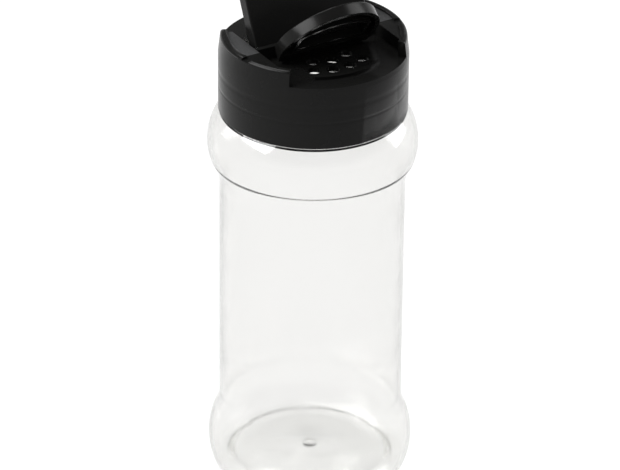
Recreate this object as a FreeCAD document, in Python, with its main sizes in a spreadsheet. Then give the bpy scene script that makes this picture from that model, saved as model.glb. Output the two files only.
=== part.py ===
"""A spice shaker: a clear blown bottle with a black screw cap and two flip doors, one to sift and one to pour.

Lengths are in millimetres. The bottle stands on Z = 0 and its axis is the Z axis. The sift door is at the front (-Y)
and the pour door at the back (+Y). The doors are drawn closed about their own hinge lines, and stand open at rest.
"""

import FreeCAD, Part
import math
import os
import re
import Sketcher

doc = FreeCAD.newDocument("spice_shaker")
sheet = doc.addObject("Spreadsheet::Sheet", "Sizes")

SIZES = [
    # Bottle
    ("cap_base_height", 97.0, "height of the cap's lower edge above the foot"),
    ("panel_radius", 22.2, "straight label panel, outside"),
    ("panel_wall", 0.9, "wall of the panel, the shoulder and the lower bulge"),
    ("shoulder_bulge_radius", 25.1, "widest radius of the shoulder"),
    ("shoulder_half_height", 8.4, "half the height of the shoulder bulge"),
    ("shoulder_drop", 0.4, "shoulder's flat top below the cap's lower edge"),
    ("base_bulge_radius", 24.8, "widest radius of the lower bulge"),
    ("base_bulge_height", 7.6, "height of that widest ring"),
    ("base_half_height", 9.0, "from that ring up to the panel"),
    ("heel_height", 1.3, "where the bulge turns into the heel"),
    ("foot_width", 1.6, "width of the flat ring that the bottle stands on"),
    ("base_wall", 1.1, "wall of the bottom"),
    ("push_up_rise", 1.8, "steep rise inside the foot"),
    ("push_up_step", 0.5, "height of each ring step in the bottom"),
    ("push_up_slope", 0.05, "rise of the bottom per millimetre towards the middle"),
    ("outer_step_radius", 13.6, "outer ring step"),
    ("inner_step_radius", 6.8, "inner ring step"),
    ("gate_radius", 1.7, "moulding nub at the middle"),
    ("gate_depth", 0.6, "how far the nub stands down"),
    # Neck
    ("neck_radius", 19.75, "neck between the threads"),
    ("neck_bore_radius", 18.2, "mouth of the bottle"),
    ("neck_fillet", 0.65, "fillet between neck and shoulder"),
    ("neck_crest_radius", 21.05, "outside of the neck's thread"),
    ("neck_thread_root", 2.4, "width of the neck's thread at the neck"),
    ("neck_thread_crest", 1.1, "width of the neck's thread at its crest"),
    ("neck_thread_below_lip", 2.3, "thread's upper end below the lip"),
    ("thread_lead", 4.233, "rise of the thread in one turn"),
    ("thread_turns", 1.25, "turns of each thread"),
    ("bead_radius", 20.0, "small ring under the thread"),
    ("bead_height", 1.0, "height of that ring"),
    ("bead_rise", 1.4, "ring's lower face above the shoulder"),
    # Cap
    ("cap_radius", 22.5, "outside of the skirt"),
    ("skirt_wall", 1.2, "wall of the skirt"),
    ("rim_wall", 1.7, "width of the rim at its top"),
    ("rim_taper", 0.5, "how far the skirt draws in towards its top"),
    ("rim_taper_height", 5.0, "height over which it draws in"),
    ("rim_round", 0.8, "rounding of the rim's outer edge"),
    ("skirt_round", 0.3, "rounding of the skirt's lower edge"),
    ("land_drop", 0.6, "side lands and doors below the rim's top"),
    ("recess_depth", 3.15, "depth of the two recesses below the side lands"),
    ("deck_height", 15.75, "floor of the recesses above the cap's lower edge"),
    ("deck_wall", 1.25, "wall of that floor"),
    ("recess_half_width", 16.0, "from the middle to each side land"),
    ("front_notch_angle", 45.5, "half the angle cut from the rim for the sift door"),
    ("rear_notch_angle", 57.0, "half the angle cut from the rim for the pour door"),
    ("slot_forward", 4.7, "rim slots, forward of the middle"),
    ("slot_width", 2.4, "width of the rim slots"),
    ("cap_crest_radius", 20.2, "inside of the cap's thread"),
    ("cap_thread_root", 1.5, "width of the cap's thread at the skirt"),
    ("cap_thread_crest", 0.7, "width of the cap's thread at its crest"),
    ("thread_gap", 0.1, "clearance between the closed threads"),
    ("bar_rear_forward", -0.2, "back face of the bar between the doors, forward of the middle"),
    ("bar_wall", 1.2, "thickness of that bar"),
    ("pour_opening_radius", 17.0, "round side of the pour opening"),
    ("pour_opening_half_width", 14.0, "half the width of the pour opening"),
    ("pour_opening_setback", 3.2, "from the bar's back face to the pour opening"),
    ("sift_hole_radius", 1.65, "each sifting hole"),
    ("outer_hole_circle", 12.9, "radius on which the outer holes lie"),
    ("outer_hole_step", 20.0, "angle between the outer holes"),
    ("inner_hole_circle", 8.4, "radius on which the inner holes lie"),
    ("inner_hole_step", 32.0, "angle between the inner holes"),
    ("ridge_radius", 17.0, "inside of the low ridge round the holes"),
    ("ridge_wall", 0.8, "width of the ridge"),
    ("ridge_height", 0.8, "height of the ridge"),
    # Seal ring
    ("seal_thickness", 1.0, "foam ring on the lip"),
    ("seat_gap", 0.02, "clearance above and below the foam ring"),
    ("seal_side_gap", 0.15, "foam ring to the skirt's inside"),
    # Hinges and doors
    ("web_radius", 0.45, "rounded bending strip of each hinge"),
    ("web_foot_width", 0.24, "thin root that joins the strip to the cap"),
    ("web_gap", 0.05, "clearance between strip and door"),
    ("web_lift", 0.1, "sift strip above the deck"),
    ("bar_gap", 0.15, "pour strip's side to the bar"),
    ("sift_hinge_forward", 3.6, "sift hinge line, forward of the middle"),
    ("sift_hinge_half_width", 11.9, "half the width of the sift door at its hinge"),
    ("sift_tip_forward", 21.5, "tip of the closed sift door, forward of the middle"),
    ("sift_back_run", 2.8, "how far the sift door's back leans forward"),
    ("sift_root", 0.3, "sift door's back edge, forward of the hinge line"),
    ("pour_arc_radius", 21.9, "round back of the pour door"),
    ("pour_side_gap", 0.6, "pour door to the side lands"),
    ("pour_root", 0.1, "pour door's front edge, behind the hinge line"),
    ("door_wall", 1.2, "top plate of each door"),
    ("lip_wall", 1.1, "wall round the edge of each door"),
    ("door_gap", 0.1, "closed door above the deck"),
    ("rib_wall", 0.8, "width of the sealing ribs under the doors"),
    ("rib_gap", 0.3, "sealing rib above the deck, and inside the ridge"),
    ("web_end_gap", 1.0, "strip's end inside the door's corner"),
    ("door_round", 0.4, "rounding of each door's top edge"),
    ("sift_open_angle", 52.0, "how far the sift door stands open"),
    ("pour_open_angle", 65.0, "how far the pour door stands open"),
]

for row, (alias, amount, note) in enumerate(SIZES, start=1):
    sheet.set("A%d" % row, note)
    sheet.set("B%d" % row, repr(amount))
    sheet.setAlias("B%d" % row, alias)
doc.recompute()
ALIASES = {alias for alias, amount, note in SIZES}

# Places that follow from the sizes, each a formula in the sheet's names
FORMULAS = {
    "shoulder_top": "cap_base_height - shoulder_drop",
    "shoulder_middle": "shoulder_top - shoulder_half_height",
    "shoulder_arc": "(shoulder_half_height^2 + (shoulder_bulge_radius - panel_radius)^2)"
                    " / (2 * (shoulder_bulge_radius - panel_radius))",
    "base_arc": "(base_half_height^2 + (base_bulge_radius - panel_radius)^2)"
                " / (2 * (base_bulge_radius - panel_radius))",
    "heel_sine": "(base_bulge_height - heel_height) / base_arc",
    "heel_cosine": "sqrt(1 - heel_sine^2)",
    "heel_radius": "heel_height / (1 - heel_sine)",
    "heel_top_radius": "base_bulge_radius - base_arc * (1 - heel_cosine)",
    "foot_radius": "heel_top_radius - heel_radius * heel_cosine",
    "foot_inner": "foot_radius - foot_width",
    "push_up_radius": "foot_inner - push_up_rise",
    "outer_step_base": "push_up_rise + push_up_slope * (push_up_radius - outer_step_radius)",
    "outer_step_top": "outer_step_base + push_up_step",
    "inner_step_base": "outer_step_top + push_up_slope * (outer_step_radius - inner_step_radius)",
    "inner_step_top": "inner_step_base + push_up_step",
    "gate_top": "inner_step_top + push_up_slope * (inner_step_radius - gate_radius)",
    "bore_radius": "cap_radius - skirt_wall",
    "deck_under": "deck_height - deck_wall",
    "lip_height": "cap_base_height + deck_under - seal_thickness - 2 * seat_gap",
    "neck_thread_start": "lip_height - neck_thread_below_lip - thread_lead * thread_turns",
    "neck_width_at_crest": "neck_thread_root - (neck_thread_root - neck_thread_crest)"
                           " * (cap_crest_radius - neck_radius) / (neck_crest_radius - neck_radius)",
    "cap_width_at_crest": "cap_thread_root - (cap_thread_root - cap_thread_crest)"
                          " * (bore_radius - neck_crest_radius) / (bore_radius - cap_crest_radius)",
    "thread_shift": "max(neck_width_at_crest + cap_thread_crest; cap_width_at_crest + neck_thread_crest) / 2"
                    " + thread_gap",
    "cap_thread_start": "neck_thread_start - thread_shift - cap_base_height",
    "land_top": "deck_height + recess_depth",
    "rim_height": "land_top + land_drop",
    "bar_front_forward": "bar_rear_forward + bar_wall",
    "pour_hinge_forward": "bar_rear_forward - bar_gap - web_radius",
    "pour_hinge_height": "land_top - web_radius",
    "sift_hinge_height": "deck_height + web_lift + web_radius",
    "pour_half_width": "recess_half_width - pour_side_gap",
    "sift_reach": "sift_tip_forward - sift_hinge_forward - sift_root",
    "sift_radius": "(sift_hinge_half_width^2 + sift_reach^2) / (2 * sift_reach)",
    "sift_centre_forward": "sift_tip_forward - sift_radius",
    "sift_rib_half_width": "sift_hinge_half_width - 2 * lip_wall",
    "ridge_half_width": "sift_rib_half_width - rib_wall",
}


def sheet_formula(text):
    """Write the derived names out until only the sheet's own names are left."""
    def swap(word):
        name = word.group(0)
        if name in FORMULAS:
            return "(" + sheet_formula(FORMULAS[name]) + ")"
        return "Sizes." + name if name in ALIASES else name
    return re.sub(r"[a-z]+(?:_[a-z]+)+", swap, str(text))


def size(text):
    """The present value of a formula, in millimetres or degrees."""
    return float(sheet.evalExpression(sheet_formula(text)))


def new_body(label):
    body = doc.addObject("PartDesign::Body", label)
    body.Label = label
    return body


def new_sketch(body, name, plane, level="0"):
    """A sketch on one of the body's own planes, lifted along that plane's normal."""
    sketch = body.newObject("Sketcher::SketchObject", name)
    plane_object = [item for item in body.Origin.OriginFeatures if item.Role == plane][0]
    sketch.AttachmentSupport = (plane_object, [""])
    sketch.MapMode = "FlatFace"
    if level != "0":
        sketch.setExpression("AttachmentOffset.Base.z", sheet_formula(level))
    return sketch


def pin_point(sketch, geometry, end, across, up):
    """Tie one end of an edge to its place by two dimensions."""
    for kind, text in (("DistanceX", across), ("DistanceY", up)):
        index = sketch.addConstraint(Sketcher.Constraint(kind, -1, 1, geometry, end, size(text)))
        sketch.setExpression("Constraints[%d]" % index, sheet_formula(text))


def add_loop(sketch, corners):
    """A closed loop of edges. A corner is (across, up), or (across, up, radius, side) for an arc that leads to it.

    The side is +1 where the arc turns anticlockwise and -1 where it turns clockwise.
    """
    first = sketch.GeometryCount
    points = [FreeCAD.Vector(size(corner[0]), size(corner[1]), 0) for corner in corners]
    for number, corner in enumerate(corners):
        start, end = points[number - 1], points[number]
        if len(corner) == 2:
            sketch.addGeometry(Part.LineSegment(start, end))
            continue
        radius, side = size(corner[2]), corner[3]
        chord = end - start
        reach = math.sqrt(max(radius ** 2 - (chord.Length / 2) ** 2, 0.0))
        middle = (start + end) * 0.5
        across = FreeCAD.Vector(-chord.y, chord.x, 0).normalize()
        centre = middle + across * reach * side
        angles = [math.atan2((point - centre).y, (point - centre).x) for point in (start, end)]
        if side < 0:
            angles.reverse()
        circle = Part.Circle(centre, FreeCAD.Vector(0, 0, 1), radius)
        sketch.addGeometry(Part.ArcOfCircle(circle, angles[0], angles[1]))
    count = len(corners)
    for number, corner in enumerate(corners):
        geometry = first + number
        following = first + (number + 1) % count
        backwards = len(corner) == 4 and corner[3] < 0
        next_corner = corners[(number + 1) % count]
        next_backwards = len(next_corner) == 4 and next_corner[3] < 0
        end = 1 if backwards else 2
        next_start = 2 if next_backwards else 1
        sketch.addConstraint(Sketcher.Constraint("Coincident", geometry, end, following, next_start))
        pin_point(sketch, geometry, end, corner[0], corner[1])
        if len(corner) == 4:
            index = sketch.addConstraint(Sketcher.Constraint("Radius", geometry, size(corner[2])))
            sketch.setExpression("Constraints[%d]" % index, sheet_formula(corner[2]))


def add_circle(sketch, across, up, radius):
    circle = Part.Circle(FreeCAD.Vector(size(across), size(up), 0), FreeCAD.Vector(0, 0, 1), size(radius))
    geometry = sketch.addGeometry(circle)
    pin_point(sketch, geometry, 3, across, up)
    index = sketch.addConstraint(Sketcher.Constraint("Radius", geometry, size(radius)))
    sketch.setExpression("Constraints[%d]" % index, sheet_formula(radius))


def revolve(body, name, sketch, kind="Revolution"):
    feature = body.newObject("PartDesign::" + kind, name)
    feature.Profile = sketch
    feature.ReferenceAxis = (sketch, ["V_Axis"])
    feature.Angle = 360.0
    body.Tip = feature
    doc.recompute()
    return feature


def pad(body, name, sketch, length):
    feature = body.newObject("PartDesign::Pad", name)
    feature.Profile = sketch
    feature.setExpression("Length", sheet_formula(length))
    body.Tip = feature
    doc.recompute()
    return feature


def pocket(body, name, sketch, length, upwards=False, both_ways=False):
    """Cut the sketch's outline out of the body, and make sure that it removed something."""
    before = body.Shape.Volume
    feature = body.newObject("PartDesign::Pocket", name)
    feature.Profile = sketch
    feature.setExpression("Length", sheet_formula(length))
    feature.Reversed = upwards
    feature.Midplane = both_ways
    body.Tip = feature
    doc.recompute()
    if not feature.Shape.Volume < before - 1e-3:
        raise RuntimeError(name + " cut nothing")
    return feature


def screw_thread(body, name, root, crest, root_width, crest_width, start):
    """A rounded ridge that climbs the wall: its section is a trapezium that is sunk a little into the wall."""
    sink = "thread_gap" if size(crest) < size(root) else "-thread_gap"
    sketch = new_sketch(body, name + "_section", "XZ_Plane")
    half_root, half_crest = "(%s) / 2" % root_width, "(%s) / 2" % crest_width
    add_loop(sketch, [
        ("%s + %s" % (root, sink), "%s - %s" % (start, half_root)),
        (crest, "%s - %s" % (start, half_crest)),
        (crest, "%s + %s" % (start, half_crest)),
        ("%s + %s" % (root, sink), "%s + %s" % (start, half_root)),
    ])
    feature = body.newObject("PartDesign::AdditiveHelix", name)
    feature.Profile = sketch
    feature.ReferenceAxis = (sketch, ["V_Axis"])
    feature.Mode = 0
    feature.setExpression("Pitch", sheet_formula("thread_lead"))
    feature.setExpression("Height", sheet_formula("thread_lead * thread_turns"))
    body.Tip = feature
    doc.recompute()
    return feature


def round_edges(body, name, radius, wanted):
    """Round the edges of the body that the test picks."""
    base = body.Tip
    names = ["Edge%d" % (number + 1) for number, edge in enumerate(base.Shape.Edges) if wanted(edge)]
    feature = body.newObject("PartDesign::Fillet", name)
    feature.Base = (base, names)
    feature.setExpression("Radius", sheet_formula(radius))
    body.Tip = feature
    doc.recompute()
    return feature


def make_bottle():
    """The blown bottle: one wall from the lip down to the pushed-up bottom, and the thread on its neck."""
    body = new_body("bottle")
    section = new_sketch(body, "bottle_section", "XZ_Plane")
    shoulder_centre = "shoulder_bulge_radius - shoulder_arc"
    base_centre = "base_bulge_radius - base_arc"
    inner_shoulder = "shoulder_arc - panel_wall"
    inner_base = "base_arc - panel_wall"
    panel_inner = "panel_radius - panel_wall"
    inner_shoulder_top = "shoulder_top - panel_wall"
    inner_heel_height = "heel_height + panel_wall / 2"
    add_loop(section, [
        # Lip and neck
        ("neck_bore_radius", "lip_height"),
        ("neck_radius", "lip_height"),
        ("neck_radius", "shoulder_top + bead_rise + bead_height"),
        ("bead_radius", "shoulder_top + bead_rise + bead_height * 3 / 4"),
        ("bead_radius", "shoulder_top + bead_rise + bead_height / 4"),
        ("neck_radius", "shoulder_top + bead_rise"),
        ("neck_radius", "shoulder_top + neck_fillet"),
        ("neck_radius + neck_fillet", "shoulder_top", "neck_fillet", 1),
        # Shoulder, panel and lower bulge
        ("panel_radius", "shoulder_top"),
        ("panel_radius", "shoulder_middle - shoulder_half_height", "shoulder_arc", -1),
        ("panel_radius", "base_bulge_height + base_half_height"),
        ("heel_top_radius", "heel_height", "base_arc", -1),
        ("foot_radius", "0", "heel_radius", -1),
        # Foot and pushed-up bottom
        ("foot_inner", "0"),
        ("push_up_radius", "push_up_rise"),
        ("outer_step_radius", "outer_step_base"),
        ("outer_step_radius - push_up_step", "outer_step_top"),
        ("inner_step_radius", "inner_step_base"),
        ("inner_step_radius - push_up_step", "inner_step_top"),
        ("gate_radius", "gate_top"),
        ("gate_radius", "gate_top - gate_depth"),
        ("0", "gate_top - gate_depth"),
        # Inside
        ("0", "gate_top + base_wall"),
        ("outer_step_radius", "outer_step_top + base_wall"),
        ("push_up_radius + base_wall / 2", "push_up_rise + base_wall"),
        ("foot_radius - base_wall / 2", "base_wall"),
        (base_centre + " + sqrt((%s)^2 - (base_bulge_height - (%s))^2)" % (inner_base, inner_heel_height),
         inner_heel_height),
        (panel_inner, "base_bulge_height + sqrt((%s)^2 - (%s - (%s))^2)" % (inner_base, panel_inner, base_centre),
         inner_base, 1),
        (panel_inner, "shoulder_middle - sqrt((%s)^2 - (%s - (%s))^2)"
         % (inner_shoulder, panel_inner, shoulder_centre)),
        (shoulder_centre + " + sqrt((%s)^2 - (shoulder_half_height - panel_wall)^2)" % inner_shoulder,
         inner_shoulder_top, inner_shoulder, 1),
        ("neck_bore_radius", inner_shoulder_top),
    ])
    revolve(body, "bottle_wall", section)
    screw_thread(body, "neck_thread", "neck_radius", "neck_crest_radius", "neck_thread_root",
                 "neck_thread_crest", "neck_thread_start")
    return body


def notch_cutter(body, name, angle, direction):
    """Cut a wedge out of everything above the deck: direction is -1 for the front and +1 for the back."""
    sketch = new_sketch(body, name + "_outline", "XY_Plane", "deck_height")
    reach = "cap_radius * 2"
    across = "%s * sin(%s * 1 deg)" % (reach, angle)
    along = "%d * %s * cos(%s * 1 deg)" % (direction, reach, angle)
    add_loop(sketch, [
        ("0", "0"),
        ("-1 * " + across, along),
        (across, along),
    ])
    return pocket(body, name, sketch, "rim_height", upwards=True)


def make_cap_shell():
    """The cap: a threaded skirt, a rim with two gaps, a sunk deck, two side lands and the bar between the doors."""
    body = new_body("cap_shell")
    section = new_sketch(body, "cap_section", "XZ_Plane")
    top_radius = "cap_radius - rim_taper"
    add_loop(section, [
        ("bore_radius", "0"),
        ("cap_radius - skirt_round", "0"),
        ("cap_radius", "skirt_round", "skirt_round", 1),
        ("cap_radius", "rim_height - rim_taper_height"),
        (top_radius, "rim_height - rim_round"),
        (top_radius + " - rim_round", "rim_height", "rim_round", 1),
        (top_radius + " - rim_wall", "rim_height"),
        (top_radius + " - rim_wall", "deck_height"),
        ("0", "deck_height"),
        ("0", "deck_under"),
        ("bore_radius", "deck_under"),
    ])
    revolve(body, "skirt_and_deck", section)

    lands = new_sketch(body, "land_outline", "XY_Plane", "deck_height")
    land_radius = top_radius + " - rim_wall / 2"
    land_reach = "sqrt((%s)^2 - recess_half_width^2)" % land_radius
    add_loop(lands, [
        ("recess_half_width", "-1 * " + land_reach),
        ("recess_half_width", land_reach, land_radius, 1),
    ])
    add_loop(lands, [
        ("-1 * recess_half_width", land_reach),
        ("-1 * recess_half_width", "-1 * " + land_reach, land_radius, 1),
    ])
    pad(body, "side_lands", lands, "land_top - deck_height")

    notch_cutter(body, "front_notch", "front_notch_angle", -1)
    notch_cutter(body, "rear_notch", "rear_notch_angle", 1)

    bar = new_sketch(body, "bar_outline", "XY_Plane", "deck_height")
    bar_end = "recess_half_width + door_wall"
    add_loop(bar, [
        ("-1 * (%s)" % bar_end, "-1 * (bar_front_forward)"),
        (bar_end, "-1 * (bar_front_forward)"),
        (bar_end, "-1 * bar_rear_forward"),
        ("-1 * (%s)" % bar_end, "-1 * bar_rear_forward"),
    ])
    pad(body, "bar_between_doors", bar, "land_top - deck_height")

    ridge = new_sketch(body, "ridge_outline", "XY_Plane", "deck_height")
    ridge_outer = "ridge_radius + ridge_wall"
    add_loop(ridge, [
        ("-1 * ridge_half_width", "-1 * sqrt((%s)^2 - ridge_half_width^2)" % ridge_outer),
        ("ridge_half_width", "-1 * sqrt((%s)^2 - ridge_half_width^2)" % ridge_outer, ridge_outer, 1),
        ("ridge_half_width", "-1 * sqrt(ridge_radius^2 - ridge_half_width^2)"),
        ("-1 * ridge_half_width", "-1 * sqrt(ridge_radius^2 - ridge_half_width^2)", "ridge_radius", -1),
    ])
    pad(body, "ridge_round_holes", ridge, "ridge_height")

    slots = new_sketch(body, "rim_slot_outline", "YZ_Plane")
    add_loop(slots, [
        ("-1 * slot_forward - slot_width / 2", "land_top"),
        ("-1 * slot_forward + slot_width / 2", "land_top"),
        ("-1 * slot_forward + slot_width / 2", "rim_height * 2"),
        ("-1 * slot_forward - slot_width / 2", "rim_height * 2"),
    ])
    pocket(body, "rim_slots", slots, "cap_radius * 4", both_ways=True)

    opening = new_sketch(body, "pour_opening_outline", "XY_Plane", "deck_height")
    opening_front = "pour_opening_setback - bar_rear_forward"
    opening_side = "sqrt(pour_opening_radius^2 - pour_opening_half_width^2)"
    add_loop(opening, [
        ("-1 * pour_opening_half_width", opening_front),
        ("pour_opening_half_width", opening_front),
        ("pour_opening_half_width", opening_side),
        ("-1 * pour_opening_half_width", opening_side, "pour_opening_radius", 1),
    ])
    pocket(body, "pour_opening", opening, "deck_wall * 2")

    holes = new_sketch(body, "sift_hole_outline", "XY_Plane", "deck_height")
    for steps in (-1.5, -0.5, 0.5, 1.5):
        angle = "(%s * outer_hole_step) * 1 deg" % steps
        add_circle(holes, "outer_hole_circle * sin(%s)" % angle, "-1 * outer_hole_circle * cos(%s)" % angle,
                   "sift_hole_radius")
    for steps in (-1, 0, 1):
        angle = "(%s * inner_hole_step) * 1 deg" % steps
        add_circle(holes, "inner_hole_circle * sin(%s)" % angle, "-1 * inner_hole_circle * cos(%s)" % angle,
                   "sift_hole_radius")
    pocket(body, "sift_holes", holes, "deck_wall * 2")

    screw_thread(body, "cap_thread", "bore_radius", "cap_crest_radius", "cap_thread_root",
                 "cap_thread_crest", "cap_thread_start")
    body.Placement = FreeCAD.Placement(FreeCAD.Vector(0, 0, size("cap_base_height")), FreeCAD.Rotation())
    return body


def make_seal_ring():
    """A thin foam ring that the cap presses on the bottle's lip."""
    body = new_body("seal_ring")
    section = new_sketch(body, "seal_section", "XZ_Plane")
    inner, outer = "neck_bore_radius + seal_side_gap", "bore_radius - seal_side_gap"
    low = "lip_height + seat_gap"
    add_loop(section, [
        (inner, low),
        (outer, low),
        (outer, low + " + seal_thickness"),
        (inner, low + " + seal_thickness"),
    ])
    revolve(body, "seal_foam", section)
    return body


def hinge_strip(label, half_length, centre, root_low, root_high):
    """The bending strip of a moulded hinge: a round bead on the hinge line, and the thin root that holds it."""
    bead = doc.addObject("Part::Cylinder", label + "_bead")
    bead.setExpression("Radius", sheet_formula("web_radius"))
    bead.setExpression("Height", sheet_formula("2 * (%s)" % half_length))
    sideways = FreeCAD.Rotation(FreeCAD.Vector(0, 1, 0), 90)
    bead.Placement = FreeCAD.Placement(
        FreeCAD.Vector(-size(half_length), size(centre[0]), size(centre[1])), sideways)
    root = doc.addObject("Part::Box", label + "_root")
    root.setExpression("Length", sheet_formula("2 * (%s)" % half_length))
    root.setExpression("Width", sheet_formula("(%s) - (%s)" % (root_high[0], root_low[0])))
    root.setExpression("Height", sheet_formula("(%s) - (%s)" % (root_high[1], root_low[1])))
    root.Placement = FreeCAD.Placement(
        FreeCAD.Vector(-size(half_length), size(root_low[0]), size(root_low[1])), FreeCAD.Rotation())
    strip = doc.addObject("Part::Fuse", label)
    strip.Label = label
    strip.Base = bead
    strip.Tool = root
    doc.recompute()
    return strip


def make_sift_hinge():
    along = "-1 * sift_hinge_forward"
    deck = "cap_base_height + deck_height"
    axis_height = "cap_base_height + (sift_hinge_height)"
    return hinge_strip(
        "sift_hinge_strip", "sift_hinge_half_width - web_end_gap", (along, axis_height),
        (along + " - web_foot_width / 2", deck), (along + " + web_foot_width / 2", axis_height))


def make_pour_hinge():
    axis_height = "cap_base_height + (pour_hinge_height)"
    return hinge_strip(
        "pour_hinge_strip", "(pour_half_width) - web_end_gap", ("-1 * (pour_hinge_forward)", axis_height),
        ("-1 * bar_rear_forward", axis_height + " - web_foot_width / 2"),
        ("-1 * (pour_hinge_forward)", axis_height + " + web_foot_width / 2"))


def strip_groove(body):
    """Room for the hinge strip along the door's edge."""
    sketch = new_sketch(body, body.Label + "_groove_outline", "YZ_Plane")
    add_circle(sketch, "0", "0", "web_radius + web_gap")
    pocket(body, body.Label + "_groove", sketch, "cap_radius * 4", both_ways=True)


def make_sift_door():
    """The front door, drawn closed with its hinge line on the X axis. It reaches forward, towards -Y."""
    body = new_body("sift_door")
    top = "land_top - (sift_hinge_height)"
    low = "deck_height + door_gap - (sift_hinge_height)"
    forward = "sift_hinge_forward"
    tip = "%s - sift_tip_forward" % forward
    outline = new_sketch(body, "sift_outline", "XY_Plane", low)
    add_loop(outline, [
        ("-1 * sift_hinge_half_width", "-1 * sift_root"),
        ("0", tip, "sift_radius", 1),
        ("sift_hinge_half_width", "-1 * sift_root", "sift_radius", 1),
    ])
    pad(body, "sift_block", outline, "(%s) - (%s)" % (top, low))

    back = new_sketch(body, "sift_back_outline", "YZ_Plane")
    add_loop(back, [
        ("-1 * sift_root", "0"),
        ("-1 * sift_root - sift_back_run", top),
        ("sift_root", top),
        ("sift_root", "0"),
    ])
    pocket(body, "sift_sloped_back", back, "cap_radius * 4", both_ways=True)
    round_edges(body, "sift_round", "door_round", lambda edge: edge.BoundBox.ZMin > size(top) - 1e-3)

    hollow = new_sketch(body, "sift_hollow_outline", "XY_Plane", low)
    hollow_arc = "sift_radius - lip_wall"
    hollow_back = "-1 * (sift_root + sift_back_run * ((%s) - door_wall) / (%s) + lip_wall)" % (top, top)
    hollow_half = "sqrt((%s)^2 - ((%s) + sift_centre_forward - %s)^2)" % (hollow_arc, hollow_back, forward)
    add_loop(hollow, [
        ("-1 * " + hollow_half, hollow_back),
        ("0", tip + " + lip_wall", hollow_arc, 1),
        (hollow_half, hollow_back, hollow_arc, 1),
    ])
    pocket(body, "sift_hollow", hollow, "(%s) - (%s) - door_wall" % (top, low), upwards=True)

    rib = new_sketch(body, "sift_rib_outline", "XY_Plane", "deck_height + rib_gap - (sift_hinge_height)")
    rib_outer = "ridge_radius - rib_gap"
    rib_inner = rib_outer + " - rib_wall"
    rib_half = "sift_rib_half_width"
    rib_back = hollow_back + " - lip_wall"
    for arc, half, rear in ((rib_outer, rib_half, rib_back),
                            (rib_inner, rib_half + " - rib_wall", rib_back + " - rib_wall")):
        along = "-1 * (sqrt((%s)^2 - (%s)^2) - %s)" % (arc, half, forward)
        add_loop(rib, [
            ("-1 * (%s)" % half, rear),
            ("-1 * (%s)" % half, along),
            (half, along, arc, 1),
            (half, rear),
        ])
    pad(body, "sift_rib", rib, "(%s) - door_wall / 2 - (deck_height + rib_gap - (sift_hinge_height))" % top)
    strip_groove(body)
    body.Placement = FreeCAD.Placement(
        FreeCAD.Vector(0, -size(forward), size("cap_base_height + (sift_hinge_height)")),
        FreeCAD.Rotation(FreeCAD.Vector(1, 0, 0), -size("sift_open_angle")))
    return body


def make_pour_door():
    """The back door, drawn closed with its hinge line on the X axis. It reaches back, towards +Y."""
    body = new_body("pour_door")
    top = "land_top - (pour_hinge_height)"
    low = "deck_height + door_gap - (pour_hinge_height)"
    forward = "pour_hinge_forward"
    outline = new_sketch(body, "pour_outline", "XY_Plane", low)
    corner = "sqrt(pour_arc_radius^2 - (pour_half_width)^2) + (%s)" % forward
    add_loop(outline, [
        ("-1 * (pour_half_width)", "pour_root"),
        ("pour_half_width", "pour_root"),
        ("pour_half_width", corner),
        ("-1 * (pour_half_width)", corner, "pour_arc_radius", 1),
    ])
    pad(body, "pour_block", outline, "(%s) - (%s)" % (top, low))
    round_edges(body, "pour_round", "door_round", lambda edge: edge.BoundBox.ZMin > size(top) - 1e-3
                and edge.BoundBox.YMax > size("pour_root") + 1e-3)

    hollow = new_sketch(body, "pour_hollow_outline", "XY_Plane", low)
    hollow_arc = "pour_arc_radius - lip_wall"
    hollow_half = "(pour_half_width) - lip_wall"
    hollow_corner = "sqrt((%s)^2 - (%s)^2) + (%s)" % (hollow_arc, hollow_half, forward)
    add_loop(hollow, [
        ("-1 * (%s)" % hollow_half, "pour_root + lip_wall"),
        (hollow_half, "pour_root + lip_wall"),
        (hollow_half, hollow_corner),
        ("-1 * (%s)" % hollow_half, hollow_corner, hollow_arc, 1),
    ])
    pocket(body, "pour_hollow", hollow, "(%s) - (%s) - door_wall" % (top, low), upwards=True)

    rib_low = "deck_height + rib_gap - (pour_hinge_height)"
    rib = new_sketch(body, "pour_rib_outline", "XY_Plane", rib_low)
    for grow in ("rib_wall", "0"):
        half = "pour_opening_half_width + " + grow
        arc = "pour_opening_radius + rib_gap + " + grow
        front = "pour_opening_setback - bar_rear_forward + (%s) - %s" % (forward, grow)
        side = "sqrt((%s)^2 - (%s)^2) + (%s)" % (arc, half, forward)
        add_loop(rib, [
            ("-1 * (%s)" % half, front),
            (half, front),
            (half, side),
            ("-1 * (%s)" % half, side, arc, 1),
        ])
    pad(body, "pour_rib", rib, "(%s) - door_wall / 2 - (%s)" % (top, rib_low))
    strip_groove(body)
    body.Placement = FreeCAD.Placement(
        FreeCAD.Vector(0, -size(forward), size("cap_base_height + (pour_hinge_height)")),
        FreeCAD.Rotation(FreeCAD.Vector(1, 0, 0), size("pour_open_angle")))
    return body


pieces = [
    make_bottle(),
    make_seal_ring(),
    make_cap_shell(),
    make_sift_hinge(),
    make_pour_hinge(),
    make_sift_door(),
    make_pour_door(),
]
doc.recompute()

for item in doc.Objects:
    if "Invalid" in item.State or "Error" in item.State:
        raise RuntimeError("%s failed: %s" % (item.Label, item.State))
for piece in pieces:
    if piece.Shape.isNull() or not piece.Shape.isValid():
        raise RuntimeError(piece.Label + " has no valid shape")

os.makedirs("parts", exist_ok=True)
for piece in pieces:
    piece.Shape.exportStep("parts/%s.step" % piece.Label)
    bounds = piece.Shape.BoundBox
    print("%-18s %2d solid  %9.2f mm3  X %.2f %.2f  Y %.2f %.2f  Z %.2f %.2f" % (
        piece.Label, len(piece.Shape.Solids), piece.Shape.Volume,
        bounds.XMin, bounds.XMax, bounds.YMin, bounds.YMax, bounds.ZMin, bounds.ZMax))
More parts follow.
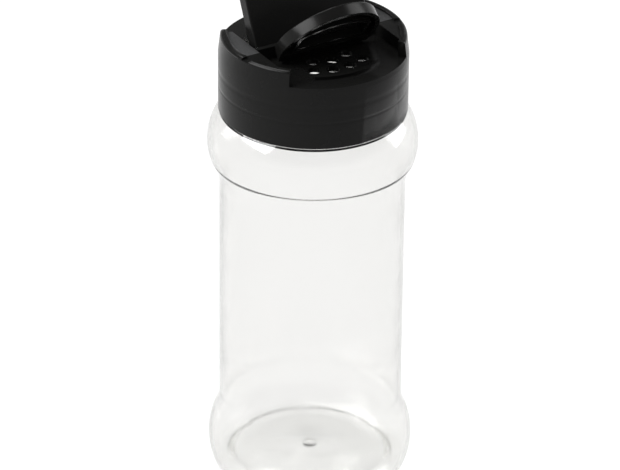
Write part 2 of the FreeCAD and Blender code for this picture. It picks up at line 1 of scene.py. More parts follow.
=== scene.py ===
"""A clear spice bottle with a black flip-door cap, on a plain pale floor.

The metre is the unit and Z is up.
"""

import math

import bmesh
import bpy
from mathutils import Matrix, Vector


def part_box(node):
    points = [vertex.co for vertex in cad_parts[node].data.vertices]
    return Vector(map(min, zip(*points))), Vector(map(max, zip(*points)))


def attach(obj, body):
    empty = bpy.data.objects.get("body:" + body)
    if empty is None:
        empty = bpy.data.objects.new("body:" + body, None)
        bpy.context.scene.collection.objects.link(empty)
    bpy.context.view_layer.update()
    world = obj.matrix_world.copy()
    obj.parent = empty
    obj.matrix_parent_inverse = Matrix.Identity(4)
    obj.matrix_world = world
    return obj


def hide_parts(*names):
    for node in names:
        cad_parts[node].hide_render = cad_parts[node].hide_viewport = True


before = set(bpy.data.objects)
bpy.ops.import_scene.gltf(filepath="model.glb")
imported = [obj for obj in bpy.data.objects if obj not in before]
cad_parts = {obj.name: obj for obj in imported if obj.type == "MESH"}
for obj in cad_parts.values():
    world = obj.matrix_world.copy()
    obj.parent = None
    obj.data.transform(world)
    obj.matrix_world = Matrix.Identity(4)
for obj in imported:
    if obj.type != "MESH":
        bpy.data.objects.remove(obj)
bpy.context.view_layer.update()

bl_info = {
    "name": "Spice shaker",
    "version": (1, 0, 0),
    "blender": (4, 5, 0),
    "location": "View3D > Sidebar > Shaker",
    "description": "Builds a clear spice bottle with a screw cap and two flip doors",
    "category": "Add Mesh",
}

MM = 0.001
BOTTLE_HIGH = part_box("bottle")[1]
CAP_LOW, CAP_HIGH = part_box("cap_shell")

# Each lamp's name, place, width and height, and power in watts
LAMPS = (
    ("Left softbox", (-0.68, 0.17, 0.7), (0.6, 0.6), 13.0),
    ("Right softbox", (0.6, -0.1, 0.4), (0.35, 0.7), 4.0),
    ("Top softbox", (0.0, 0.4, 0.85), (0.5, 0.5), 5.0),
)
LAMP_AIM = Vector((0.0, 0.0, 70.0 * MM))


def length(name, description, default):
    """A length that a user can change, in metres."""
    return bpy.props.FloatProperty(
        name=name, description=description, default=default, min=0.0, precision=5, unit="LENGTH")


def angle(name, description, degrees):
    """An angle that a user can change. Its default is given in degrees."""
    return bpy.props.FloatProperty(
        name=name, description=description, default=math.radians(degrees), subtype="ANGLE")


def number(name, description, default):
    """A plain number that a user can change."""
    return bpy.props.FloatProperty(name=name, description=description, default=default)


def colour(name, description, default):
    """A colour that a user can change."""
    return bpy.props.FloatVectorProperty(
        name=name, description=description, default=default, size=4, min=0.0, max=1.0, subtype="COLOR")


class BottleSizes(bpy.types.PropertyGroup):
    """Sizes of the blown bottle."""

    panel_radius: length("Panel radius", "Outside of the straight label panel", 22.2 * MM)
    wall: length("Wall", "Wall of the panel and the two bulges", 0.9 * MM)
    shoulder_radius: length("Shoulder radius", "Widest radius of the shoulder", 25.1 * MM)
    shoulder_top: length("Shoulder top", "Height of the shoulder's flat top", 96.85 * MM)
    shoulder_half_height: length("Shoulder half height", "From its widest ring up to its top", 8.4 * MM)
    crease_drop: length("Crease drop", "Crease in the shoulder, below its widest ring", 4.0 * MM)
    crease_run: length("Crease run", "From that crease down to the straight panel", 7.7 * MM)
    base_radius: length("Base radius", "Widest radius of the lower bulge", 24.8 * MM)
    base_middle: length("Base middle", "Height of the widest ring of the lower bulge", 7.6 * MM)
    base_half_height: length("Base half height", "Run in which its arc would reach the panel", 9.0 * MM)
    blend_radius: length("Blend radius", "Hollow curve from the panel to the lower bulge", 12.0 * MM)
    heel_height: length("Heel height", "Where the bulge turns into the heel", 1.3 * MM)
    foot_width: length("Foot width", "Width of the ring that the bottle stands on", 1.6 * MM)
    base_wall: length("Base wall", "Wall of the bottom", 1.1 * MM)
    push_up_rise: length("Push-up rise", "Steep rise inside the foot", 1.8 * MM)
    bottom_slope: number("Bottom slope", "Rise of the bottom towards its middle, over its run", 0.05)
    ring_step: length("Ring step", "Height of each ring step in the bottom", 0.5 * MM)
    outer_ring: length("Outer ring", "Radius of the outer ring step", 13.6 * MM)
    inner_ring: length("Inner ring", "Radius of the inner ring step", 6.8 * MM)
    gate_radius: length("Gate radius", "Radius of the moulding nub", 1.7 * MM)
    gate_depth: length("Gate depth", "How far the nub stands down", 0.6 * MM)
    neck_radius: length("Neck radius", "Neck between the threads", 19.75 * MM)
    neck_fillet: length("Neck fillet", "Hollow corner between the shoulder and the neck", 0.65 * MM)
    bore_radius: length("Mouth radius", "Inside of the neck", 18.2 * MM)
    mouth_corner: length("Mouth corner", "Rounding inside, below the neck", 1.0 * MM)
    lip_round: length("Lip rounding", "Rounding of the lip's two edges", 0.4 * MM)
    bead_radius: length("Bead radius", "Ring under the thread", 20.0 * MM)
    bead_rise: length("Bead rise", "That ring's lower edge above the shoulder's top", 1.4 * MM)
    bead_height: length("Bead height", "Height of that ring at the neck", 1.0 * MM)
    bead_slope: length("Bead slope", "Height of each slanted side of that ring", 0.25 * MM)
    thread_radius: length("Thread radius", "Outside of the thread", 21.05 * MM)
    thread_root: length("Thread root", "Width of the thread at the neck", 2.4 * MM)
    thread_crest: length("Thread crest", "Width of the thread at its crest", 1.1 * MM)
    thread_sink: length("Thread sink", "How far the thread reaches into the neck", 0.1 * MM)
    thread_round: length("Thread rounding", "Rounding of the thread's edges", 0.25 * MM)
    thread_below_lip: length("Thread below lip", "Thread's upper end below the lip", 2.3 * MM)
    thread_lead: length("Thread lead", "Rise of the thread in one turn", 4.233 * MM)
    thread_turns: number("Thread turns", "Turns of the thread", 1.25)
    segments: bpy.props.IntProperty(
        name="Segments", description="Faces round the bottle", default=160, min=12)


class CapSizes(bpy.types.PropertyGroup):
    """Sizes of the finish on the moulded cap."""

    edge_round: length("Edge rounding", "Rounding of the cap's moulded edges", 0.28 * MM)
    door_round: length("Door rounding", "Rounding of the doors' moulded edges", 0.12 * MM)
    strip_round: length("Strip rounding", "Rounding of the hinge strips' edges", 0.04 * MM)
    merge: length("Merge distance", "Corners nearer than this are one", 0.002 * MM)
    land_drop: length("Land drop", "Side lands below the cap's highest point", 0.6 * MM)
    land_front: length("Land front", "Texture of the lands, in front of the cap's axis", 2.4 * MM)
    land_inner: length("Land inner edge", "From the middle out to the texture", 16.0 * MM)
    land_fade: length("Land fade", "Width over which the texture sets in", 0.2 * MM)
    upper_mark: length("Upper sink mark", "Its height above the skirt's edge", 10.5 * MM)
    upper_mark_reach: length("Upper mark reach", "Half its width", 1.1 * MM)
    lower_mark: length("Lower sink mark", "Its height above the skirt's edge", 6.6 * MM)
    lower_mark_reach: length("Lower mark reach", "Half its width", 0.6 * MM)


class Finishes(bpy.types.PropertyGroup):
    """Colours of the plastics and the stage."""

    clear: colour("Clear plastic", "Tint of the bottle", (0.93, 0.928, 0.926, 1.0))
    clear_shadow: colour("Bottle's shadow", "Light that passes its wall", (0.93, 0.935, 0.93, 1.0))
    clear_depth: colour("Wall depth", "Tint that grows with depth", (0.79, 0.79, 0.755, 1.0))
    clear_density: number("Wall density", "How fast that tint grows, per metre", 170.0)
    black: colour("Black plastic", "Colour of the cap", (0.005, 0.005, 0.0048, 1.0))
    black_worn: colour("Worn black", "Colour of its scuffs and grain", (0.075, 0.076, 0.078, 1.0))
    foam: colour("Foam", "Colour of the seal ring", (0.80, 0.80, 0.77, 1.0))
    foam_cells: colour("Foam cells", "Darker tone of its cells", (0.62, 0.62, 0.58, 1.0))
    floor: colour("Floor", "Colour of the floor", (0.86, 0.86, 0.86, 1.0))


class StageLevels(bpy.types.PropertyGroup):
    """Levels of the pale background."""

    floor_white: number("Floor white", "Share of plain white in the floor, where it is seen", 0.85)
    room_light: number("Room light", "Strength of the room's light on the object", 0.45)
    horizon_low: number("Horizon low", "Height in the room up to which it looks white", 0.1)
    horizon_high: number("Horizon high", "Height in the room above which it looks dark", 0.4)
    ceiling: number("Ceiling", "Strength of the room above that, where it is seen", 0.12)


class CameraSizes(bpy.types.PropertyGroup):
    """Where the photograph was taken from."""

    azimuth: angle("Azimuth", "Camera's turn from the front", -31.0)
    elevation: angle("Elevation", "Camera's height as an angle", 28.9)
    roll: angle("Roll", "Tilt of the picture", 0.6)
    distance: length("Distance", "Camera to bottle", 1.1)
    aim_height: length("Aim height", "Height of the point in the picture's middle", 62.0 * MM)
    aim_side: bpy.props.FloatProperty(
        name="Aim side", description="How far the aim is left of the axis", default=0.4 * MM, unit="LENGTH")
    lens: number("Lens", "Focal length in millimetres", 266.0)


SETTINGS = {
    "shaker_bottle": BottleSizes,
    "shaker_cap": CapSizes,
    "shaker_finish": Finishes,
    "shaker_stage": StageLevels,
    "shaker_camera": CameraSizes,
}


# Mesh helpers

def finish_mesh(bm, name, sharp_angle=math.radians(30.0)):
    """Turn a bmesh into an object at the origin, smooth but for its sharp edges."""
    mesh = bpy.data.meshes.new(name)
    for face in bm.faces:
        face.smooth = True
    bm.to_mesh(mesh)
    bm.free()
    mesh.set_sharp_from_angle(angle=sharp_angle)
    piece = bpy.data.objects.new(name, mesh)
    bpy.context.scene.collection.objects.link(piece)
    return piece


def arc(centre, radius, start, end, steps):
    """Points on an arc in the radius and height plane, both ends included. Angles are in radians."""
    turns = [start + (end - start) * step / steps for step in range(steps + 1)]
    return [(centre[0] + radius * math.cos(turn), centre[1] + radius * math.sin(turn)) for turn in turns]


def arc_radius(depth, run):
    """Radius of an arc that starts upright and comes in by a depth over a run."""
    return (run ** 2 + depth ** 2) / (2 * depth)


def spin_profile(bm, points, segments):
    """Turn a line of (radius, height) points once round the Z axis."""
    weld = 0.001 * MM
    corners = [bm.verts.new((radius, 0.0, height)) for radius, height in points]
    edges = [bm.edges.new(pair) for pair in zip(corners, corners[1:])]
    bmesh.ops.spin(bm, geom=corners + edges, cent=(0, 0, 0), axis=(0, 0, 1), dvec=(0, 0, 0),
                   angle=math.tau, steps=segments, use_merge=True)
    bmesh.ops.remove_doubles(bm, verts=bm.verts, dist=weld)
    bmesh.ops.dissolve_degenerate(bm, dist=weld / 2, edges=bm.edges)
    bmesh.ops.recalc_face_normals(bm, faces=bm.faces)


def round_edges(piece, width):
    """Round a piece's sharp edges with a Bevel modifier."""
    bevel = piece.modifiers.new("Rounded edges", "BEVEL")
    bevel.width = width
    bevel.segments = 2
    bevel.limit_method = "ANGLE"
    bevel.angle_limit = math.radians(35.0)
    bevel.use_clamp_overlap = True
    bevel.miter_outer = "MITER_ARC"
    bevel.harden_normals = True


def moulded_copy(node, name, edge_round, merge):
    """A merged copy of a CAD node with rounded, smooth edges, which stands for that node."""
    flat_angle = math.radians(0.6)
    bm = bmesh.new()
    bm.from_mesh(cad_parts[node].data)
    bmesh.ops.remove_doubles(bm, verts=bm.verts, dist=merge)
    bmesh.ops.dissolve_degenerate(bm, dist=merge, edges=bm.edges)
    bmesh.ops.dissolve_limit(bm, angle_limit=flat_angle, use_dissolve_boundaries=False,
                             verts=bm.verts, edges=bm.edges, delimit=set())
    piece = finish_mesh(bm, name)
    round_edges(piece, edge_round)
    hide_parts(node)
    return piece


def dress(piece, body, material):
    """Give a piece its body and its one material."""
    piece.data.materials.clear()
    piece.data.materials.append(material)
    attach(piece, body)


# Material helpers

def socket(group, name, direction, kind="NodeSocketFloat", default=None):
    """Add an input or an output to a node group."""
    made = group.interface.new_socket(name=name, in_out=direction, socket_type=kind)
    if default is not None:
        made.default_value = default


def feed(tree, value, target):
    """Set an input to a number, or link another node's output to it."""
    if isinstance(value, (int, float)):
        target.default_value = value
    else:
        tree.links.new(value, target)


def math_node(tree, operation, *values, clamp=False):
    """One Math node. Each value is a number or another node's output."""
    node = tree.nodes.new("ShaderNodeMath")
    node.operation = operation
    node.use_clamp = clamp
    for value, target in zip(values, node.inputs):
        feed(tree, value, target)
    return node.outputs[0]


def map_range(tree, value, low, high, to_low, to_high, smooth=False):
    """Carry a value from one range over to another, whose ends are numbers or outputs."""
    node = tree.nodes.new("ShaderNodeMapRange")
    node.interpolation_type = "SMOOTHSTEP" if smooth else "LINEAR"
    node.inputs["From Min"].default_value = low
    node.inputs["From Max"].default_value = high
    feed(tree, to_low, node.inputs["To Min"])
    feed(tree, to_high, node.inputs["To Max"])
    tree.links.new(value, node.inputs["Value"])
    return node.outputs["Result"]


def noise(tree, vector, scale, detail, roughness=0.5):
    """A noise that varies about as many times in a metre as its scale says."""
    node = tree.nodes.new("ShaderNodeTexNoise")
    node.inputs["Scale"].default_value = scale
    node.inputs["Detail"].default_value = detail
    node.inputs["Roughness"].default_value = roughness
    tree.links.new(vector, node.inputs["Vector"])
    return node.outputs["Fac"]


def split_axes(tree, vector):
    """The X, Y and Z of a vector."""
    node = tree.nodes.new("ShaderNodeSeparateXYZ")
    tree.links.new(vector, node.inputs["Vector"])
    return node.outputs["X"], node.outputs["Y"], node.outputs["Z"]


def distance_to(tree, value, middle):
    """How far a value is from a middle one, on either side."""
    return math_node(tree, "ABSOLUTE", math_node(tree, "SUBTRACT", value, middle))


def mix_shaders(tree, share, first, second, output):
    """Send a mix of two shaders to the output. A share of 1 is all of the second."""
    mix = tree.nodes.new("ShaderNodeMixShader")
    tree.links.new(share, mix.inputs["Fac"])
    tree.links.new(first, mix.inputs[1])
    tree.links.new(second, mix.inputs[2])
    tree.links.new(mix.outputs["Shader"], output.inputs["Surface"])


def seen_rays(tree):
    """1 for rays that show the stage itself, straight, through the bottle or mirrored, and 0 for the rest."""
    path = tree.nodes.new("ShaderNodeLightPath")
    straight = math_node(tree, "MAXIMUM", path.outputs["Is Camera Ray"], path.outputs["Is Transmission Ray"])
    return math_node(tree, "MAXIMUM", straight, path.outputs["Is Glossy Ray"])


def moulded_skin_group():
    """Fine unevenness of a moulded plastic skin, with faint scuffs, as a tone, a roughness and a height."""
    name = "Moulded skin"
    if name in bpy.data.node_groups:
        return bpy.data.node_groups[name]
    group = bpy.data.node_groups.new(name, "ShaderNodeTree")
    socket(group, "Position", "INPUT", "NodeSocketVector")
    socket(group, "Roughness low", "INPUT", default=0.2)
    socket(group, "Roughness high", "INPUT", default=0.3)
    socket(group, "Ripple", "INPUT", default=0.5)
    socket(group, "Grain", "INPUT", default=0.0)
    socket(group, "Scuffs", "INPUT", default=0.2)
    socket(group, "Tone", "OUTPUT")
    socket(group, "Roughness", "OUTPUT")
    socket(group, "Height", "OUTPUT")
    inputs = group.nodes.new("NodeGroupInput")
    outputs = group.nodes.new("NodeGroupOutput")
    position = inputs.outputs["Position"]

    # Broad waves of the skin, its fine grain, and scuffs that run long and slanting
    broad = noise(group, position, scale=120.0, detail=3.0)
    fine = noise(group, position, scale=2600.0, detail=2.0, roughness=0.6)
    stretch = group.nodes.new("ShaderNodeMapping")
    stretch.inputs["Scale"].default_value = (1.0, 1.0, 0.12)
    stretch.inputs["Rotation"].default_value = (0.5, 0.9, 0.3)
    group.links.new(position, stretch.inputs["Vector"])
    lines = noise(group, stretch.outputs["Vector"], scale=1800.0, detail=2.0, roughness=0.7)
    scuff_lines = map_range(group, lines, 0.62, 0.78, 0.0, 1.0)
    scuffs = math_node(group, "MULTIPLY", scuff_lines, inputs.outputs["Scuffs"])

    low, high = inputs.outputs["Roughness low"], inputs.outputs["Roughness high"]
    spread = map_range(group, broad, 0.3, 0.7, low, high)
    grainy = math_node(group, "MULTIPLY_ADD", inputs.outputs["Grain"], 0.3, spread)
    roughness = math_node(group, "MULTIPLY_ADD", scuffs, 0.2, grainy, clamp=True)
    group.links.new(roughness, outputs.inputs["Roughness"])

    ripple = math_node(group, "MULTIPLY", broad, inputs.outputs["Ripple"])
    grain = math_node(group, "MULTIPLY", fine, inputs.outputs["Grain"])
    skin = math_node(group, "ADD", ripple, grain)
    height = math_node(group, "MULTIPLY_ADD", scuffs, -0.1, skin)
    group.links.new(height, outputs.inputs["Height"])

    tone = math_node(group, "MULTIPLY_ADD", grain, 0.6, math_node(group, "MULTIPLY", scuffs, 0.6))
    group.links.new(tone, outputs.inputs["Tone"])
    return group


def new_material(name):
    """A material with its tree, its shader and the Object coordinates."""
    material = bpy.data.materials.new(name)
    material.use_nodes = True
    tree = material.node_tree
    tree.nodes.clear()
    output = tree.nodes.new("ShaderNodeOutputMaterial")
    shader = tree.nodes.new("ShaderNodeBsdfPrincipled")
    place = tree.nodes.new("ShaderNodeTexCoord")
    tree.links.new(shader.outputs["BSDF"], output.inputs["Surface"])
    return material, tree, shader, place.outputs["Object"]


def add_skin(tree, position, shader, **values):
    """Place the skin group with its own values, and let it set the shader's roughness."""
    node = tree.nodes.new("ShaderNodeGroup")
    node.node_tree = moulded_skin_group()
    tree.links.new(position, node.inputs["Position"])
    for name, value in values.items():
        feed(tree, value, node.inputs[name.replace("_", " ")])
    tree.links.new(node.outputs["Roughness"], shader.inputs["Roughness"])
    return node.outputs["Tone"], node.outputs["Height"]


def add_bump(tree, height, shader, strength, distance):
    """Let a height bend the light on the surface."""
    bump = tree.nodes.new("ShaderNodeBump")
    bump.inputs["Strength"].default_value = strength
    bump.inputs["Distance"].default_value = distance
    tree.links.new(height, bump.inputs["Height"])
    tree.links.new(bump.outputs["Normal"], shader.inputs["Normal"])


def tone_colour(tree, shader, base, other, factor):
    """Mix from the base colour towards the other one."""
    mix = tree.nodes.new("ShaderNodeMix")
    mix.data_type = "RGBA"
    mix.inputs["A"].default_value = base
    mix.inputs["B"].default_value = other
    tree.links.new(factor, mix.inputs["Factor"])
    tree.links.new(mix.outputs["Result"], shader.inputs["Base Color"])


def clear_plastic():
    """Blown clear plastic: thin, glossy, slightly wavy, with a faint parting line down each side."""
    name = "Clear plastic"
    if name in bpy.data.materials:
        return bpy.data.materials[name]
    finish = bpy.context.scene.shaker_finish
    material, tree, shader, position = new_material(name)
    output = tree.nodes["Material Output"]
    shader.inputs["Base Color"].default_value = finish.clear
    shader.inputs["Transmission Weight"].default_value = 1.0
    shader.inputs["IOR"].default_value = 1.5
    height = add_skin(tree, position, shader,
                      Roughness_low=0.07, Roughness_high=0.12, Ripple=0.5, Grain=0.0, Scuffs=0.05)[1]

    # The parting line is where the two halves of the mould meet, at the left and the right side
    seam_crest = 0.05 * MM
    seam_foot = 0.25 * MM
    seam_height = 0.08
    off_seam = math_node(tree, "ABSOLUTE", split_axes(tree, position)[1])
    seam = map_range(tree, off_seam, seam_crest, seam_foot, seam_height, 0.0)
    add_bump(tree, math_node(tree, "ADD", height, seam), shader, strength=0.25, distance=0.12 * MM)

    # Light passes straight through to make the shadow pale
    see_through = tree.nodes.new("ShaderNodeBsdfTransparent")
    see_through.inputs["Color"].default_value = finish.clear_shadow
    shadow = tree.nodes.new("ShaderNodeLightPath").outputs["Is Shadow Ray"]
    mix_shaders(tree, shadow, shader.outputs["BSDF"], see_through.outputs["BSDF"], output)
    depth = tree.nodes.new("ShaderNodeVolumeAbsorption")
    depth.inputs["Color"].default_value = finish.clear_depth
    depth.inputs["Density"].default_value = finish.clear_density
    tree.links.new(depth.outputs["Volume"], output.inputs["Volume"])
    return material


def land_mask(tree, across, along, height):
    """1 on the cap's two textured side lands and 0 elsewhere."""
    sizes = bpy.context.scene.shaker_cap
    same_height = 0.05 * MM
    off_land = distance_to(tree, height, CAP_HIGH.z - sizes.land_drop)
    on_top = map_range(tree, off_land, same_height, 2 * same_height, 1.0, 0.0)
    front = -sizes.land_front
    behind = map_range(tree, along, front, front + sizes.land_fade, 0.0, 1.0)
    inner = sizes.land_inner
    off_middle = math_node(tree, "ABSOLUTE", across)
    outside = map_range(tree, off_middle, inner, inner + sizes.land_fade, 0.0, 1.0)
    return math_node(tree, "MULTIPLY", on_top, math_node(tree, "MULTIPLY", behind, outside))


def sink_marks(tree, height):
    """1 on two soft rings where the skirt has sunk a little over the thread behind it, 0 away from them."""
    sizes = bpy.context.scene.shaker_cap
    rings = ((sizes.upper_mark, sizes.upper_mark_reach), (sizes.lower_mark, sizes.lower_mark_reach))
    upper, lower = [
        map_range(tree, distance_to(tree, height, CAP_LOW.z + rise), 0.0, reach, 1.0, 0.0, smooth=True)
        for rise, reach in rings
    ]
    return math_node(tree, "MAXIMUM", upper, lower)


def black_plastic(is_shell=False):
    """Black moulded plastic. The shell has two finely textured side lands, and sink marks on its skirt."""
    name = "Black cap plastic" if is_shell else "Black door plastic"
    if name in bpy.data.materials:
        return bpy.data.materials[name]
    finish = bpy.context.scene.shaker_finish
    material, tree, shader, position = new_material(name)
    shader.inputs["IOR"].default_value = 1.49
    shader.inputs["Specular IOR Level"].default_value = 0.11
    lands = 0.0
    if is_shell:
        axes = split_axes(tree, position)
        lands = land_mask(tree, *axes)
    tone, height = add_skin(tree, position, shader,
                            Roughness_low=0.2, Roughness_high=0.28, Ripple=0.25, Grain=lands, Scuffs=0.02)
    tone_colour(tree, shader, finish.black, finish.black_worn, tone)
    if is_shell:
        mark_depth = -1.2
        height = math_node(tree, "MULTIPLY_ADD", sink_marks(tree, axes[2]), mark_depth, height)
    add_bump(tree, height, shader, strength=0.5, distance=0.1 * MM)
    return material


def foam():
    """White closed-cell foam."""
    name = "Foam"
    if name in bpy.data.materials:
        return bpy.data.materials[name]
    finish = bpy.context.scene.shaker_finish
    material, tree, shader, position = new_material(name)
    tone, height = add_skin(tree, position, shader,
                            Roughness_low=0.75, Roughness_high=0.9, Ripple=0.6, Grain=1.0, Scuffs=0.0)
    tone_colour(tree, shader, finish.foam, finish.foam_cells, tone)
    add_bump(tree, height, shader, strength=0.6, distance=0.15 * MM)
    return material


def bottle_profile(sizes):
    """The bottle's wall as (radius, height) points.

    They run from the middle of the bottom up the outside, over the lip and down the inside.
    """
    panel = sizes.panel_radius
    wall = sizes.wall

    # The shoulder, and the hollow arc from its crease down to the straight panel
    shoulder = arc_radius(sizes.shoulder_radius - panel, sizes.shoulder_half_height)
    shoulder_centre = (sizes.shoulder_radius - shoulder, sizes.shoulder_top - sizes.shoulder_half_height)
    shoulder_turn = math.asin(sizes.shoulder_half_height / shoulder)
    shoulder_inside = shoulder - wall
    shoulder_inside_turn = math.asin((sizes.shoulder_half_height - wall) / shoulder_inside)
    crease_turn = math.asin(sizes.crease_drop / shoulder)
    crease_depth = shoulder_centre[0] + shoulder * math.cos(crease_turn) - panel
    hollow = arc_radius(crease_depth, sizes.crease_run)
    hollow_centre = (panel + hollow, shoulder_centre[1] - sizes.crease_drop - sizes.crease_run)
    hollow_turn = math.asin(sizes.crease_run / hollow)

    # The lower bulge, and the hollow arc that leads from the panel into it
    base = arc_radius(sizes.base_radius - panel, sizes.base_half_height)
    base_centre = (sizes.base_radius - base, sizes.base_middle)
    base_inside = base - wall
    base_inside_turn = math.asin((sizes.base_middle - sizes.heel_height - wall / 2) / base_inside)
    blend = sizes.blend_radius
    base_turn = math.acos((panel + blend - base_centre[0]) / (base + blend))
    blend_centre = (panel + blend, base_centre[1] + (base + blend) * math.sin(base_turn))

    # The heel and the foot ring
    heel_turn = math.asin((sizes.base_middle - sizes.heel_height) / base)
    heel = sizes.heel_height / (1 - math.sin(heel_turn))
    heel_centre = (base_centre[0] + (base - heel) * math.cos(heel_turn), heel)
    foot_inner = heel_centre[0] - sizes.foot_width
    foot_edge = 0.15 * MM
    foot_flat = 0.1 * MM

    # The bottom, which rises towards its middle in two ring steps, with the nub at its middle
    step = sizes.ring_step
    step_run = 3 * step
    push_up = foot_inner - sizes.push_up_rise
    outer_base = sizes.push_up_rise + sizes.bottom_slope * (push_up - sizes.outer_ring)
    inner_base = outer_base + step + sizes.bottom_slope * (sizes.outer_ring - sizes.inner_ring)
    gate_top = inner_base + step + sizes.bottom_slope * (sizes.inner_ring - sizes.gate_radius)
    gate_face = sizes.gate_radius * 0.85
    gate_edge = gate_top - sizes.gate_depth * 0.8
    middle_wall = sizes.base_wall * 0.9

    # The neck's corners and the lip
    fillet = sizes.neck_fillet
    fillet_centre = (sizes.neck_radius + fillet, sizes.shoulder_top + fillet)
    bead_low = sizes.shoulder_top + sizes.bead_rise
    bead_high = bead_low + sizes.bead_height
    lip_height = BOTTLE_HIGH.z - sizes.lip_round
    corner = sizes.mouth_corner
    corner_centre = (sizes.bore_radius + corner, sizes.shoulder_top - wall + corner)

    bottom_outside = [
        (0.0, gate_top - sizes.gate_depth),
        (gate_face, gate_top - sizes.gate_depth),
        (sizes.gate_radius, gate_edge),
        (sizes.gate_radius, gate_top),
        (sizes.inner_ring - step_run, inner_base + step),
        (sizes.inner_ring + step_run, inner_base),
        (sizes.outer_ring - step_run, outer_base + step),
        (sizes.outer_ring + step_run, outer_base),
        (push_up, sizes.push_up_rise),
        (foot_inner - foot_edge, foot_edge),
        (foot_inner + foot_flat, 0.0),
    ]
    bead = [
        (sizes.neck_radius, bead_low),
        (sizes.bead_radius, bead_low + sizes.bead_slope),
        (sizes.bead_radius, bead_high - sizes.bead_slope),
        (sizes.neck_radius, bead_high),
    ]
    bottom_inside = [
        (heel_centre[0] - sizes.base_wall / 2, sizes.base_wall),
        (push_up + sizes.base_wall / 2, sizes.push_up_rise + sizes.base_wall),
        (sizes.outer_ring, outer_base + step + sizes.base_wall),
        (sizes.inner_ring, inner_base + step + middle_wall),
        (0.0, gate_top + sizes.base_wall),
    ]
    quarter = math.pi / 2
    half = math.pi
    return [
        *bottom_outside,
        *arc(heel_centre, heel, -quarter, -heel_turn, steps=12),
        *arc(base_centre, base, -heel_turn, base_turn, steps=28)[1:],
        *arc(blend_centre, blend, half + base_turn, half, steps=10)[1:],
        *arc(hollow_centre, hollow, half, half - hollow_turn, steps=12),
        *arc(shoulder_centre, shoulder, -crease_turn, shoulder_turn, steps=34)[1:],
        *arc(fillet_centre, fillet, -quarter, -half, steps=6),
        *bead,
        *arc((sizes.neck_radius - sizes.lip_round, lip_height), sizes.lip_round, 0.0, quarter, steps=5),
        *arc((sizes.bore_radius + sizes.lip_round, lip_height), sizes.lip_round, quarter, half, steps=5),
        *arc(corner_centre, corner, half, half + quarter, steps=6),
        *arc(shoulder_centre, shoulder_inside, shoulder_inside_turn, -crease_turn, steps=34),
        *arc(hollow_centre, hollow + wall, half - hollow_turn, half, steps=12),
        *arc(blend_centre, blend + wall, half, half + base_turn, steps=10),
        *arc(base_centre, base_inside, base_turn, -base_inside_turn, steps=28)[1:],
        *bottom_inside,
    ]


class SHAKER_OT_bottle(bpy.types.Operator):
    """Build the blown bottle with its screw thread"""

    bl_idname = "shaker.bottle"
    bl_label = "Bottle"

    def execute(self, context):
        sizes = context.scene.shaker_bottle
        bm = bmesh.new()
        spin_profile(bm, bottle_profile(sizes), sizes.segments)
        bottle = finish_mesh(bm, "bottle_wall", math.radians(40.0))
        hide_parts("bottle")
        dress(bottle, "bottle", clear_plastic())
        self.add_thread(sizes)
        return {"FINISHED"}

    def add_thread(self, sizes):
        """Wind the thread's section up round the neck."""
        bm = bmesh.new()
        foot = sizes.neck_radius - sizes.thread_sink
        crest = sizes.thread_radius
        climb = sizes.thread_lead * sizes.thread_turns
        start = BOTTLE_HIGH.z - sizes.thread_below_lip - climb
        section = [bm.verts.new(corner) for corner in (
            (foot, 0, start - sizes.thread_root / 2),
            (crest, 0, start - sizes.thread_crest / 2),
            (crest, 0, start + sizes.thread_crest / 2),
            (foot, 0, start + sizes.thread_root / 2),
        )]
        face = bm.faces.new(section)
        steps = int(sizes.segments * sizes.thread_turns)
        bmesh.ops.spin(bm, geom=[face, *face.edges, *face.verts], cent=(0, 0, 0), axis=(0, 0, 1),
                       dvec=(0, 0, climb / steps), angle=math.tau * sizes.thread_turns,
                       steps=steps, use_merge=False)
        bmesh.ops.recalc_face_normals(bm, faces=bm.faces)
        thread = finish_mesh(bm, "neck_thread", math.radians(25.0))
        round_edges(thread, sizes.thread_round)
        dress(thread, "bottle", clear_plastic())


class SHAKER_OT_seal(bpy.types.Operator):
    """Dress the foam ring between lip and cap"""

    bl_idname = "shaker.seal"
    bl_label = "Seal ring"

    def execute(self, context):
        sizes = context.scene.shaker_cap
        ring = moulded_copy("seal_ring", "seal_foam", sizes.edge_round, sizes.merge)
        dress(ring, "seal", foam())
        return {"FINISHED"}


class SHAKER_OT_cap(bpy.types.Operator):
    """Dress the cap's shell and its two hinge strips"""

    bl_idname = "shaker.cap"
    bl_label = "Cap"

    def execute(self, context):
        sizes = context.scene.shaker_cap
        shell = moulded_copy("cap_shell", "cap_moulding", sizes.edge_round, sizes.merge)
        dress(shell, "cap", black_plastic(is_shell=True))
        for node in ("sift_hinge_strip", "pour_hinge_strip"):
            strip = moulded_copy(node, node + "_moulding", sizes.strip_round, sizes.merge)
            dress(strip, "cap", black_plastic())
        return {"FINISHED"}


class SHAKER_OT_doors(bpy.types.Operator):
    """Dress the sift door and the pour door"""

    bl_idname = "shaker.doors"
    bl_label = "Doors"

    def execute(self, context):
        sizes = context.scene.shaker_cap
        for node in ("sift_door", "pour_door"):
            door = moulded_copy(node, node + "_moulding", sizes.door_round, sizes.merge)
            dress(door, node, black_plastic())
        return {"FINISHED"}


